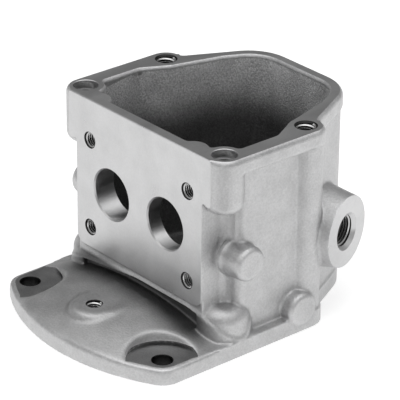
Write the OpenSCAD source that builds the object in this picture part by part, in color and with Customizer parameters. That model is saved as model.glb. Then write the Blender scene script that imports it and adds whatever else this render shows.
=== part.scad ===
// Cast aluminium housing: an open box on a crowned base flange, machined on its
// top rim, its front pad and its seats. One casting, so it is one node.
// Frame: X to the right along the front pad, Y back from the pad face, Z up from
// the base face. X = 0 is midway between the two bores. Sizes in millimetres.

/* [Part] */
// Which node to build

/* [Body] */
// Height of the top rim face above the base face
body_h = 108; // [90:0.5:140]
// Half width across the rim band
rim_half = 63.5; // [58:0.1:75]
// Corner radius of the rim at the front
rim_corner_r = 10; // [6:0.1:14]
// Depth of the body from the pad face to the back of the rim
body_depth = 113.5; // [100:0.5:140]
// Angle of the converging rear walls from the Y direction
rear_angle = 26.7; // [15:0.1:40]
// Radius of the rounded rear corners of the rim
rear_r = 25; // [15:0.5:35]
// Distance by which each converging wall passes outside the rear rim hole
rear_pass = 3.6; // [2:0.1:6]
// Height of the rim band
rim_band_h = 8.4; // [6:0.1:16]
// How far the side walls stand inside the rim band
wall_set = 6; // [3:0.1:7]
// How far the rear walls stand inside the rim band
rear_set = 1; // [0.5:0.1:2]
// Floor thickness under the cavity
floor_t = 10; // [6:0.5:16]

/* [Cavity] */
// Thickness of the side walls
side_wall_t = 4.9; // [4:0.1:8]
// Thickness of the front wall between its columns
front_wall_t = 6.8; // [5:0.1:10]
// Thickness of the rear walls, measured at the rim
rear_wall_t = 7; // [5:0.1:10]
// Radius of the metal left round each rim hole inside the cavity
lug_r = 10.2; // [8:0.1:14]
// Radius of the solid round a rear rim hole, inside the cavity
rear_lug_r = 9.5; // [8.5:0.1:11]
// Angle of the web from the rear lug to the side wall
web_side_angle = 27.6; // [20:0.1:45]
// Angle of the web from the rear lug to the rear wall
web_rear_angle = 15; // [5:0.5:22]
// Radius of the columns behind the tapped pad holes
column_r = 8.5; // [7:0.1:11]
// Distance of the column centres behind the pad face
column_y = 3.5; // [2:0.1:6]

/* [Rim holes] */
// Spacing of the rim holes across the part
rim_dx = 107; // [90:0.5:120]
// Spacing of the rim holes along the part
rim_dy = 53; // [40:0.5:70]
// Distance of the front rim holes behind the pad face
rim_y0 = 10; // [8:0.1:14]
// Radius of the tapping bore of a rim hole
rim_tap_r = 4.25; // [3:0.05:5]
// Depth of the rim holes
rim_hole_depth = 24; // [16:0.5:27]
// Radius of the mouth chamfer of the rear rim holes
rim_mouth_r = 5.9; // [5:0.05:6.5]
// Radius of the dowel seats in the front rim holes
dowel_r = 6.4; // [5.5:0.05:7]
// Depth of the dowel seats
dowel_depth = 5; // [3:0.5:10]

/* [Front pad] */
// Half width of the machined pad below the corner bosses
pad_half = 48.7; // [44:0.1:52]
// Height of the lower edge of the pad
pad_z0 = 25.5; // [22:0.1:32]
// Corner radius of the pad
pad_corner_r = 5; // [3:0.5:9]
// Proud height of the pad over the foot below it
pad_proud = 1.2; // [0.6:0.1:2]
// Depth of the pad block behind the pad face
pad_block_d = 12.2; // [10:0.1:16]
// Radius of both arcs of the step from the pad block to the side wall
step_r = 4.4; // [3:0.1:6]
// Chamfer between the pad and the top face
pad_chamfer = 1; // [0.5:0.1:2]
// Spacing of the tapped pad holes across the pad
pad_dx = 76; // [60:0.5:84]
// Spacing of the tapped pad holes up the pad
pad_dz = 49; // [40:0.5:60]
// Height of the middle of the pad hole pattern
pad_mid_z = 61.2; // [55:0.1:70]
// Radius of the tapping bore of a pad hole
pad_tap_r = 3.4; // [2.5:0.05:4]
// Radius of the mouth chamfer of a pad hole
pad_mouth_r = 4.5; // [4:0.05:5]
// Depth of the pad holes
pad_hole_depth = 10; // [8:0.5:11]
// Spacing of the two bores
bore_dx = 42; // [34:0.5:50]
// Radius of the two bores
bore_r = 13.5; // [10:0.1:16]
// Chamfer at the mouth of a bore
bore_chamfer = 0.7; // [0.3:0.1:1.5]
// Length of the left bore, its inside collar included
bore_left_len = 12.5; // [8:0.1:16]
// Length of the right bore, its inside collar included
bore_right_len = 8.4; // [7.5:0.1:16]
// Wall of the inside collars
collar_t = 4; // [3:0.5:6]

/* [Corner bosses and columns] */
// Height of the bottom of the front corner bosses
corner_boss_z0 = 78.5; // [70:0.5:90]
// Rounding at the bottom of the front corner bosses
corner_boss_round = 5; // [2:0.5:7]
// Radius of the rear columns under the rear rim holes
rear_column_r = 9.1; // [7:0.1:11]

/* [Side pegs] */
// Radius of the four side pegs
peg_r = 8; // [6:0.1:10]
// Distance of the front pegs behind the pad face
peg1_y = 18; // [16:0.1:24]
// Height of the axis of the front pegs
peg1_z = 50.2; // [44:0.1:60]
// Reach of the front pegs from the middle of the part
peg1_x = 66.2; // [63:0.1:72]
// Distance of the rear pegs behind the pad face
peg2_y = 54.6; // [50:0.1:60]
// Height of the axis of the rear pegs
peg2_z = 12.2; // [11:0.1:20]
// Reach of the rear pegs from the middle of the part
peg2_x = 65.2; // [64.5:0.1:70]
// Fillet at the root of a peg
peg_fillet = 2; // [1:0.1:3]
// Rounding of the end of a peg
peg_round = 1.2; // [0.5:0.1:2]

/* [Base flange] */
// Half width of the base flange
base_half = 63.7; // [58:0.1:76]
// Distance of the front of the flange before the pad face
base_front = 53.1; // [40:0.1:70]
// Corner radius of the flange, about its fixing holes
base_corner_r = 10.5; // [8:0.1:14]
// Least thickness of the flange
base_t = 8.7; // [6:0.1:12]
// Height of the crown of the flange
crown_z = 17.9; // [15:0.1:20]
// Radius of the crown across the part
crown_rx = 210; // [200:1:400]
// Radius of the crown along the part
crown_ry = 100; // [60:1:100]
// Distance of the top of the crown before the pad face
crown_y = 12; // [5:0.5:20]
// Rounding of the upper edge of the flange
base_round = 3.3; // [1:0.1:4]
// Height at which that rounding meets the top
base_round_z = 9.9; // [8:0.1:12]
// Spacing of the fixing holes of the flange
base_hole_dx = 106; // [90:0.5:120]
// Distance of the fixing holes before the pad face
base_hole_y = 28; // [20:0.1:40]
// Radius of the fixing holes
base_hole_r = 5.3; // [4:0.1:7]
// Height of the seats round the fixing holes
seat_z = 8.6; // [7:0.1:10]
// Radius of the seats at their floor
seat_r = 18.6; // [12:0.1:22]
// Shift of the seats outward and forward from the holes
seat_shift = 1.6; // [0:0.1:4]
// Draft of the seat walls in degrees
seat_draft = 22; // [5:1:40]

/* [Tapped boss on the flange] */
// Height of the flat of the tapped boss, which runs back to the foot
tap_boss_z = 17.6; // [15:0.1:22]
// Radius of the tapped boss
tap_boss_r = 13; // [8:0.1:16]
// Rounding of the tapped boss
tap_boss_round = 3; // [1:0.1:4]
// Radius of the tapping bore
tap_boss_bore_r = 3.4; // [2.5:0.05:4]
// Radius of its mouth chamfer
tap_boss_mouth_r = 4.4; // [4:0.05:5]
// Depth of the tapping bore
tap_boss_depth = 14; // [8:0.5:16]

/* [Foot] */
// Radius of the corner posts of the foot
post_r = 13; // [9:0.1:15]
// Distance of the post centres from the middle of the part
post_x = 49.5; // [44:0.1:52]
// Height of the corner posts
post_h = 25; // [20:0.5:32]
// Rounding at the top of the corner posts
post_round = 8; // [4:0.5:11]
// Step of the skirt round the foot
skirt_step = 1; // [0.5:0.1:2]
// Height of the skirt at the middle of the front
skirt_h = 22.6; // [20:0.1:24]
// Height of the skirt at the corner posts
skirt_end_h = 16.4; // [14:0.1:20]
// Height of the skirt at the right edge of the pad
skirt_right_h = 20.8; // [18:0.1:22]
// Left end of the level stretch of the skirt, from the middle
skirt_left = 2; // [0:1:20]
// Right end of the level stretch of the skirt, from the middle
skirt_right = 38; // [20:1:44]
// Thickness of the lip above the cove
cove_lip = 1; // [0.6:0.1:2]
// Depth of the cove behind the pad face
cove_y = 4; // [2:0.1:4.5]
// Half length of the cove
cove_half = 45; // [20:1:46]

/* [Side port] */
// Angle of the port axis from the X direction
port_angle = 17.8; // [10:0.1:27]
// Position across the part of the port face
port_x = 61.4; // [56:0.1:70]
// Distance of the port face behind the pad face
port_y = 86; // [78:0.1:92]
// Height of the port axis
port_z = 45.2; // [36:0.1:60]
// Radius of the port boss at its face
port_r = 18.9; // [14:0.1:22]
// Radius of the port boss at its root
port_root_r = 22.4; // [20:0.1:25]
// Length of the port boss
port_len = 20; // [15:0.5:26]
// Radius of the port bore
port_bore_r = 8.2; // [6:0.1:11]
// Chamfer at the mouth of the port bore
port_chamfer = 1.6; // [0.5:0.1:3]

/* [Hidden] */
$fn = 32;
arc_fn = 16;
eps = 0.01;
// Lap of the rear arcs over the lines that touch them
lap = 0.002;

wall_half = rim_half - wall_set;
cavity_half = wall_half - side_wall_t;
rim_x = rim_dx / 2;
rim_y1 = rim_y0 + rim_dy;
corner_x = rim_half - rim_corner_r;
rear_n = [cos(rear_angle), sin(rear_angle)];
rear_t = [-sin(rear_angle), cos(rear_angle)];
rear_k = rear_n * [rim_x, rim_y1] + rear_pass;
rim_rear_r = rim_half - rim_x;
lug_fillet_r = 4;
post_y = post_r + pad_proud;
foot_front = pad_proud;
base_arc_r = flange_arc_r();
base_arc_y = base_arc_r - base_front;

// Radius of the flange front, an arc that touches both corner circles.
function flange_arc_r() =
    let (a = base_half - base_corner_r, b = base_front - base_hole_y)
    (a * a + b * b - base_corner_r * base_corner_r) / (2 * (b - base_corner_r));

// Point where the lines n * p = k and m * p = j meet.
function meet(n, k, m, j) =
    [k * m.y - j * n.y, n.x * j - m.x * k] / (n.x * m.y - n.y * m.x);

// Copies its children to both sides of X = 0.
module both() {
    children();
    mirror([1, 0, 0]) children();
}

// Fills the waist between a circle and a straight wall with a concave arc.
module waist(c, r, n, k, f) {
    t = [-n.y, n.x];
    d = k - n * c;
    s = sqrt((r + f) * (r + f) - (d + f) * (d + f));
    m = c + n * (d + f) + t * s;
    difference() {
        polygon([c, c + (m - c) * r / (r + f), m, m - n * f, c + n * d]);
        translate(m) circle(f);
    }
}

// Plan of the rear of the body: walls that converge to a rounded back.
module rear_plan(inset, y0) {
    r = rear_r - inset;
    k = rear_k - inset;
    back = body_depth - inset;
    cx = (k - r - rear_n.y * (back - r)) / rear_n.x;
    c = [cx, back - r];
    p = c + rear_n * r;
    q = [(k - rear_n.y * y0) / rear_n.x, y0];
    both() {
        translate(c) circle(r + lap);
        polygon([[0, y0], q, p, c, [cx, back], [0, back]]);
    }
}

// Plan of the top rim.
module rim_plan() {
    translate([-rim_half, rim_corner_r])
        square([2 * rim_half, rim_y1 - rim_corner_r]);
    translate([-corner_x, 0]) square([2 * corner_x, rim_corner_r + eps]);
    both() {
        translate([corner_x, rim_corner_r]) circle(rim_corner_r);
        translate([rim_x, rim_y1]) circle(rim_rear_r);
        waist([rim_x, rim_y1], rim_rear_r, rear_n, rear_k, lug_fillet_r);
    }
    rear_plan(0, rim_y1);
}

// Plan of the body below the rim band, with the S-shaped side steps.
module wall_plan() {
    yc = pad_block_d + 2 * step_r;
    translate([-pad_half, foot_front]) square([2 * pad_half, yc]);
    translate([-wall_half + step_r, yc - step_r])
        square([2 * (wall_half - step_r), rim_y1 - yc + step_r]);
    translate([-wall_half, yc]) square([2 * wall_half, rim_y1 - yc]);
    both() {
        translate([wall_half - step_r, yc]) circle(step_r);
        difference() {
            translate([pad_half - eps, pad_block_d])
                square([wall_half - step_r - pad_half + eps, step_r]);
            translate([pad_half + step_r, pad_block_d]) circle(step_r);
        }
        translate([rim_x, rim_y1]) circle(rear_column_r);
        waist([rim_x, rim_y1], rear_column_r, rear_n, rear_k - rear_set, lug_fillet_r);
    }
    rear_plan(rear_set, rim_y1);
}

// Solid round a rear rim hole, with webs to the side wall and the rear wall.
module rear_lug() {
    c = [rim_x, rim_y1];
    n = [for (a = [web_side_angle, web_rear_angle]) [cos(a), sin(a)]];
    k = [for (m = n) m * c - rear_lug_r + 0.1];
    x = cavity_half + 1;
    side = meet([1, 0], x, n[0], k[0]);
    rear = meet(rear_n, rear_k - rear_wall_t + 1, n[1], k[1]);
    translate(c) circle(rear_lug_r);
    polygon([side, meet(n[0], k[0], n[1], k[1]), rear,
        [x + rear_lug_r, rear.y], [x + rear_lug_r, side.y]]);
}

// Plan of the cavity, with the metal left round the holes taken out of it.
module cavity_plan() {
    y0 = front_wall_t;
    r = rear_r - rear_wall_t;
    k = rear_k - rear_wall_t;
    q = [cavity_half, (k - rear_n.x * cavity_half) / rear_n.y];
    difference() {
        union() {
            translate([-cavity_half, y0]) square([2 * cavity_half, q.y - y0]);
            rear_plan(rear_wall_t, q.y - eps);
        }
        both() {
            translate([rim_x, rim_y0]) circle(lug_r);
            rear_lug();
            translate([pad_dx / 2, column_y]) circle(column_r);
        }
    }
}

// Half profile of a round boss: rounded end, fillet at its root.
module boss_profile(r, h, top, root) {
    difference() {
        square([r, h]);
        translate([r - top, h - top]) difference() {
            square(top + 1);
            circle(top, $fn = arc_fn);
        }
    }
    if (root > 0)
        translate([r - eps, 0]) difference() {
            square(root);
            translate([root + eps, root]) circle(root, $fn = arc_fn);
        }
}

// Round boss that stands along Z.
module round_boss(r, h, top, root = 0) {
    rotate_extrude() boss_profile(r, h, top, root);
}

// Peg that stands out of a side wall along X.
module peg(y, z, x0, x1) {
    translate([x0, y, z]) rotate([0, 90, 0])
        round_boss(peg_r, x1 - x0, peg_round, peg_fillet);
}

// Blind hole with a chamfered mouth, pointing down from the origin.
module blind_hole(r, mouth, depth) {
    translate([0, 0, -depth]) cylinder(r = r, h = depth + 1);
    translate([0, 0, -(mouth - r)]) cylinder(r1 = r, r2 = mouth, h = mouth - r);
    translate([0, 0, -eps]) cylinder(r = mouth, h = 1);
}

// Plan of the flange in front of and beside the body.
module flange_plan() {
    a = base_half - base_corner_r;
    u = [a, base_arc_y + base_hole_y] / (base_arc_r - base_corner_r);
    tx = a + u.x * base_corner_r;
    intersection() {
        translate([0, base_arc_y]) circle(base_arc_r, $fn = 160);
        translate([-tx, -base_front - 1]) square([2 * tx, base_front]);
    }
    translate([-base_half, -base_hole_y]) square([2 * base_half, rim_y1 + base_hole_y]);
    both() {
        translate([a, -base_hole_y]) circle(base_corner_r);
        translate([rim_x, rim_y1]) circle(base_half - rim_x);
        waist([rim_x, rim_y1], base_half - rim_x, rear_n, rear_k, lug_fillet_r);
    }
    rear_plan(0, rim_y1);
}

// Takes the upper edge of the flange down to a quarter round.
module edge_profile() {
    difference() {
        square(base_round + 4);
        circle(base_round, $fn = arc_fn);
    }
}

module flange_edge_cut() {
    z = base_round_z - base_round;
    half = asin((base_half - base_corner_r) / (base_arc_r - base_corner_r));
    translate([0, base_arc_y, z]) rotate([0, 0, -90 - half])
        rotate_extrude(angle = 2 * half, $fn = 160)
            translate([base_arc_r - base_round, 0]) edge_profile();
    both() {
        translate([base_half - base_corner_r, -base_hole_y, z])
            rotate([0, 0, -90 + half]) rotate_extrude(angle = 90 - half)
                translate([base_corner_r - base_round, 0]) edge_profile();
        translate([base_half - base_round, post_y, z]) rotate([90, 0, 0])
            linear_extrude(post_y + base_hole_y) edge_profile();
    }
}

// What stands above the crown of the flange, which is curved both ways.
module crown_cut() {
    difference() {
        translate([-2 * body_h, -2 * body_h, base_t])
            cube([4 * body_h, 4 * body_h, 2 * crown_z]);
        translate([0, -crown_y, crown_z - crown_rx]) rotate([90, 0, 0])
            rotate_extrude($fn = 200) translate([crown_rx - crown_ry, 0])
                circle(crown_ry, $fn = 200);
    }
}

// Plan of the flat of the tapped boss and of its run back to the foot.
module boss_flat() {
    translate([0, -base_hole_y]) circle(tap_boss_r);
    translate([-tap_boss_r, -base_hole_y])
        square([2 * tap_boss_r, base_hole_y + post_y]);
}

// The crowned flange with its rounded edge, and the ledge beside the body.
module flange() {
    color("silver") {
        linear_extrude(base_t) intersection() {
            flange_plan();
            translate([-base_half, 0]) square([2 * base_half, body_depth]);
        }
        difference() {
            linear_extrude(crown_z + 1) intersection() {
                flange_plan();
                translate([-base_half, -base_front])
                    square([2 * base_half, base_front + post_y]);
            }
            crown_cut();
            flange_edge_cut();
            translate([0, 0, tap_boss_z]) linear_extrude(crown_z) boss_flat();
        }
    }
}

// The walls, the rim band and the front corner bosses.
module body_walls() {
    color("gainsboro") {
        linear_extrude(body_h) wall_plan();
        translate([0, 0, body_h - rim_band_h]) linear_extrude(rim_band_h) rim_plan();
        both() translate([corner_x, rim_corner_r, corner_boss_z0]) {
            h = body_h - corner_boss_z0;
            translate([0, 0, h]) mirror([0, 0, 1])
                round_boss(rim_corner_r, h, corner_boss_round);
            translate([pad_half - corner_x - 1, -rim_corner_r, corner_boss_round])
                cube([corner_x - pad_half + 1, rim_corner_r, h - corner_boss_round]);
        }
        both() {
            peg(peg1_y, peg1_z, pad_half, peg1_x);
            peg(peg2_y, peg2_z, wall_half, peg2_x);
        }
    }
}

// The front pad, proud of the foot below it.
module front_pad() {
    x = pad_half - pad_corner_r;
    z = pad_z0 + pad_corner_r;
    color("lightgray") translate([0, pad_block_d, 0]) rotate([90, 0, 0])
        linear_extrude(pad_block_d) {
            translate([-pad_half, z]) square([2 * pad_half, body_h - z]);
            translate([-x, pad_z0]) square([2 * x, pad_corner_r + eps]);
            both() translate([x, z]) circle(pad_corner_r);
        }
}

// Outline of the skirt seen from the front, lower at the corner posts.
module skirt_front() {
    x1 = pad_half;
    x2 = base_half - 0.2;
    run = x2 - x1;
    polygon([[-x2, 0], [-x2, base_t + 1], [-x1 - 0.6 * run, skirt_end_h - 2.5],
        [-x1, skirt_end_h], [-skirt_left, skirt_h], [skirt_right, skirt_h],
        [x1, skirt_right_h], [x1 + 0.5 * run, skirt_right_h - 2.8],
        [x1 + 0.8 * run, skirt_right_h - 6.8], [x2, base_t + 1], [x2, 0]]);
}

// The foot under the pad: two corner posts joined by a skirt.
module foot() {
    color("darkgray") {
        both() translate([post_x, post_y, 0]) round_boss(post_r, post_h, post_round);
        intersection() {
            linear_extrude(skirt_h) {
                r = post_r + skirt_step;
                translate([-post_x, post_y - r]) square([2 * post_x, r]);
                both() translate([post_x, post_y]) circle(r);
            }
            translate([0, 2 * post_r, 0]) rotate([90, 0, 0])
                linear_extrude(3 * post_r) skirt_front();
        }
    }
}

// The cove under the lip of the skirt, down to the crown of the flange.
module cove() {
    intersection() {
        crown_cut();
        translate([0, cove_y, -cove_lip]) rotate([90, 0, 0])
            linear_extrude(2 * cove_y) intersection() {
                skirt_front();
                translate([-cove_half, base_t]) square([2 * cove_half, body_h]);
            }
    }
}

// The tapped boss in the middle of the flange.
module tapped_boss() {
    color("silver") {
        translate([0, -base_hole_y, base_t - 1])
            round_boss(tap_boss_r, tap_boss_z - base_t + 1, tap_boss_round);
        translate([-tap_boss_r, -base_hole_y, base_t - 1])
            cube([2 * tap_boss_r, base_hole_y + post_y, tap_boss_z - base_t + 1]);
    }
}

// The conical boss of the side port.
module port_boss() {
    color("gray") translate([port_x, port_y, port_z]) rotate([0, 0, port_angle])
        rotate([0, -90, 0]) cylinder(r1 = port_r, r2 = port_root_r, h = port_len);
}

module port_bore() {
    translate([port_x, port_y, port_z]) rotate([0, 0, port_angle])
        rotate([0, 90, 0]) {
            translate([0, 0, -port_len - 14]) cylinder(r = port_bore_r, h = port_len + 15);
            translate([0, 0, -port_chamfer])
                cylinder(r1 = port_bore_r, r2 = port_bore_r + port_chamfer,
                    h = port_chamfer + eps);
        }
}

// Collars inside the front wall that lengthen the two bores.
module collars() {
    color("gray") for (b = [[-1, bore_left_len], [1, bore_right_len]])
        translate([b[0] * bore_dx / 2, b[1], pad_mid_z]) rotate([90, 0, 0])
            cylinder(r = bore_r + collar_t, h = b[1] - 1);
}

module bores() {
    for (s = [-1, 1]) translate([s * bore_dx / 2, 0, pad_mid_z]) {
        rotate([-90, 0, 0]) translate([0, 0, -1]) cylinder(r = bore_r, h = 22);
        rotate([-90, 0, 0]) translate([0, 0, -eps])
            cylinder(r1 = bore_r + bore_chamfer, r2 = bore_r, h = bore_chamfer);
    }
}

module pad_holes() {
    for (x = [-1, 1], z = [-1, 1])
        translate([x * pad_dx / 2, 0, pad_mid_z + z * pad_dz / 2]) rotate([90, 0, 0])
            blind_hole(pad_tap_r, pad_mouth_r, pad_hole_depth);
}

module rim_holes() {
    for (x = [-1, 1]) {
        translate([x * rim_x, rim_y0, body_h]) {
            translate([0, 0, -rim_hole_depth]) cylinder(r = rim_tap_r, h = rim_hole_depth);
            translate([0, 0, -dowel_depth]) cylinder(r = dowel_r, h = dowel_depth + 1);
        }
        translate([x * rim_x, rim_y1, body_h])
            blind_hole(rim_tap_r, rim_mouth_r, rim_hole_depth);
    }
}

module flange_holes() {
    both() {
        translate([base_hole_dx / 2, -base_hole_y, -1]) cylinder(r = base_hole_r, h = 30);
        translate([base_hole_dx / 2 + seat_shift, -base_hole_y - seat_shift, seat_z])
            cylinder(r1 = seat_r, r2 = seat_r + 6 * tan(seat_draft), h = 6);
    }
    translate([0, -base_hole_y, tap_boss_z])
        blind_hole(tap_boss_bore_r, tap_boss_mouth_r, tap_boss_depth);
}

// The chamfer along the top of the pad.
module pad_edge_cut() {
    translate([0, 0, body_h]) rotate([45, 0, 0])
        cube([2 * rim_half, pad_chamfer * sqrt(2), pad_chamfer * sqrt(2)], center = true);
}

module housing() {
    difference() {
        union() {
            difference() {
                union() {
                    flange();
                    body_walls();
                    front_pad();
                    foot();
                    port_boss();
                }
                translate([0, 0, floor_t]) linear_extrude(body_h) cavity_plan();
            }
            intersection() {
                collars();
                translate([-cavity_half, 0, 0]) cube([2 * cavity_half, 20, body_h]);
            }
            tapped_boss();
        }
        bores();
        pad_holes();
        rim_holes();
        flange_holes();
        port_bore();
        pad_edge_cut();
        cove();
    }
}

housing();
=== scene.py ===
"""Dresses a cast aluminium housing: the cast and machined body, its screw
threads, and the studio that it stands in."""

import logging
import math
from dataclasses import dataclass, field
from enum import IntEnum
from typing import Sequence

import bmesh
import bpy
import numpy as np
from mathutils import Matrix, Vector


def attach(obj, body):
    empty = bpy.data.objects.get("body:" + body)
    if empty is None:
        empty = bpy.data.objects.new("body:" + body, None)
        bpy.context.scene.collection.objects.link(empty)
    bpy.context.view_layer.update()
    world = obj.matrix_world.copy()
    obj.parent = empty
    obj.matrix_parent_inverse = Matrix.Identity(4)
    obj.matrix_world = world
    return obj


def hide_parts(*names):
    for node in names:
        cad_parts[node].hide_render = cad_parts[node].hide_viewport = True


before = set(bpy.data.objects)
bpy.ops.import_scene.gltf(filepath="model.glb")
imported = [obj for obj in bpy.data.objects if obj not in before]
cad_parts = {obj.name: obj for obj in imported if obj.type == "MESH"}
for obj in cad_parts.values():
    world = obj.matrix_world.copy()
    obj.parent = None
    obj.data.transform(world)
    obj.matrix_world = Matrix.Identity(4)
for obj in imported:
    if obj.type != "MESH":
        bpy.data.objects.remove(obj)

log = logging.getLogger("housing")

MM = 0.001
Profile = Sequence[tuple[float, float]]

# Vertices nearer than this to a plane lie on it, in metres
NEAR = 1e-5
# Vertices nearer than this to each other are one, in metres
SAME = 1e-6
# Millimetres by which a cutter or a plug stands out of its face
OVER = 1.0
# Steps round a turned solid, and round a wide one
STEPS = 64
WIDE_STEPS = 96
# Colour sockets of a Mix node
MIX_A = 6
MIX_B = 7
MIX_COLOR = 2
BLACK = (0.0, 0.0, 0.0, 1.0)


class Skin(IntEnum):
    """Material slot of a face of the housing."""

    CAST = 0
    MILLED = 1
    DRILLED = 2
    INNER = 3
    SPOT = 4
    THREAD = 5


def mm(*values: float) -> Vector:
    """Turns a point in millimetres into a vector in metres."""
    return Vector(values) * MM


def new_object(name: str, mesh: bpy.types.Mesh) -> bpy.types.Object:
    """Links a new object to the scene.

    Args:
        name: Name of the object.
        mesh: The mesh that it shows.

    Returns:
        The object, at the origin and unturned.
    """
    piece = bpy.data.objects.new(name, mesh)
    bpy.context.scene.collection.objects.link(piece)
    return piece


def mesh_of(bm: bmesh.types.BMesh, name: str) -> bpy.types.Mesh:
    """Writes a bmesh to a new mesh and frees it.

    Args:
        bm: The bmesh, whose faces are turned outward first.
        name: Name of the mesh.

    Returns:
        The new mesh.
    """
    bmesh.ops.recalc_face_normals(bm, faces=bm.faces)
    mesh = bpy.data.meshes.new(name)
    bm.to_mesh(mesh)
    bm.free()
    return mesh


def bake(piece: bpy.types.Object) -> None:
    """Applies an object's modifiers to its mesh.

    Args:
        piece: Object whose modifiers are applied and cleared.
    """
    graph = bpy.context.evaluated_depsgraph_get()
    old = piece.data
    result = bpy.data.meshes.new_from_object(piece.evaluated_get(graph))
    piece.modifiers.clear()
    piece.data = result
    bpy.data.meshes.remove(old)


def axis_matrix(origin: Vector, direction: Vector) -> Matrix:
    """Places a shape made along +Z.

    Args:
        origin: Where the shape's origin goes.
        direction: Where its +Z points.

    Returns:
        The 4 by 4 matrix of that place.
    """
    turn = Vector((0, 0, 1)).rotation_difference(direction).to_matrix().to_4x4()
    return Matrix.Translation(origin) @ turn


def merge(bm: bmesh.types.BMesh, part: bmesh.types.BMesh) -> None:
    """Moves one bmesh into another.

    Args:
        bm: Bmesh that takes the part.
        part: Bmesh of the part, freed here.
    """
    mesh = bpy.data.meshes.new("part")
    part.to_mesh(mesh)
    part.free()
    bm.from_mesh(mesh)
    bpy.data.meshes.remove(mesh)


def rod(r: float, low: float, high: float) -> Profile:
    """Gives the outline of a plain round solid.

    Args:
        r: Its radius in millimetres.
        low: Depth at which it starts.
        high: Depth at which it ends.

    Returns:
        The outline, starting and ending on the axis.
    """
    return [(0, low), (r, low), (r, high), (0, high)]


def chamfered(r: float, chamfer: float, depth: float) -> Profile:
    """Gives the outline of a flat-bottomed hole with a chamfered mouth.

    Args:
        r: Radius of the hole in millimetres.
        chamfer: Depth and width of its chamfer.
        depth: Depth of its bottom.

    Returns:
        The outline, starting and ending on the axis.
    """
    wide = r + chamfer + OVER
    return [(0, -OVER), (wide, -OVER), (r, chamfer), (r, depth), (0, depth)]


def turn_solid(
    bm: bmesh.types.BMesh,
    profile: Profile,
    origin: Vector,
    inward: Vector,
    skin: Skin,
    steps: int = STEPS,
) -> None:
    """Adds a closed turned solid.

    Args:
        bm: Bmesh that takes the solid.
        profile: Radius and depth in millimetres, starting and ending on the axis.
        origin: Centre of the mouth.
        inward: Direction of growing depth.
        skin: Material slot of its faces.
        steps: Number of steps round the axis.
    """
    part = bmesh.new()
    verts = [part.verts.new(mm(r, 0, depth)) for r, depth in profile]
    edges = [part.edges.new(pair) for pair in zip(verts, verts[1:])]
    bmesh.ops.spin(
        part, geom=verts + edges, cent=(0, 0, 0), axis=(0, 0, 1), dvec=(0, 0, 0),
        angle=math.tau, steps=steps, use_merge=True, use_duplicate=False,
    )
    bmesh.ops.remove_doubles(part, verts=part.verts, dist=SAME)
    for f in part.faces:
        f.material_index = int(skin)
    bmesh.ops.transform(part, matrix=axis_matrix(origin, inward), verts=part.verts)
    merge(bm, part)


def add_box(bm: bmesh.types.BMesh, low: Vector, high: Vector, skin: Skin) -> None:
    """Adds a block between two corners.

    Args:
        bm: Bmesh that takes the block.
        low: Lowest corner.
        high: Highest corner.
        skin: Material slot of its faces.
    """
    size = high - low
    place = Matrix.Translation((low + high) / 2) @ Matrix.Diagonal((*size, 1.0))
    made = bmesh.ops.create_cube(bm, size=1.0, matrix=place)
    for f in {f for v in made["verts"] for f in v.link_faces}:
        f.material_index = int(skin)


@dataclass(frozen=True)
class Grain:
    """A shared node group that turns noise into a mask and a bump height."""

    name: str
    fine: float
    coarse: float
    speck: float
    stretch: tuple[float, float, float] = (1.0, 1.0, 1.0)
    fine_detail: float = 3.0
    fine_roughness: float = 0.6
    coarse_detail: float = 4.0
    tone_range: tuple[float, float] = (0.36, 0.64)

    def group(self) -> bpy.types.NodeTree:
        """Builds the group.

        Returns:
            A tree with the outputs Height, Blotch and Tone.
        """
        tree = bpy.data.node_groups.new(self.name, "ShaderNodeTree")
        for title in ("Height", "Blotch", "Tone"):
            tree.interface.new_socket(
                name=title, in_out="OUTPUT", socket_type="NodeSocketFloat"
            )
        out = tree.nodes.new("NodeGroupOutput")
        place = tree.nodes.new("ShaderNodeTexCoord")
        scale = tree.nodes.new("ShaderNodeMapping")
        scale.inputs["Scale"].default_value = self.stretch
        tree.links.new(place.outputs["Object"], scale.inputs["Vector"])
        fine = tree.nodes.new("ShaderNodeTexNoise")
        fine.inputs["Scale"].default_value = self.fine
        fine.inputs["Detail"].default_value = self.fine_detail
        fine.inputs["Roughness"].default_value = self.fine_roughness
        coarse = tree.nodes.new("ShaderNodeTexNoise")
        coarse.inputs["Scale"].default_value = self.coarse
        coarse.inputs["Detail"].default_value = self.coarse_detail
        for noise in (fine, coarse):
            tree.links.new(scale.outputs["Vector"], noise.inputs["Vector"])
        tree.links.new(fine.outputs["Fac"], out.inputs["Height"])
        tree.links.new(coarse.outputs["Fac"], out.inputs["Blotch"])
        both = tree.nodes.new("ShaderNodeMix")
        both.inputs["Factor"].default_value = self.speck
        tree.links.new(coarse.outputs["Fac"], both.inputs["A"])
        tree.links.new(fine.outputs["Fac"], both.inputs["B"])
        tone = tree.nodes.new("ShaderNodeMapRange")
        tone.inputs["From Min"].default_value = self.tone_range[0]
        tone.inputs["From Max"].default_value = self.tone_range[1]
        tree.links.new(both.outputs["Result"], tone.inputs["Value"])
        tree.links.new(tone.outputs["Result"], out.inputs["Tone"])
        return tree


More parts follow.
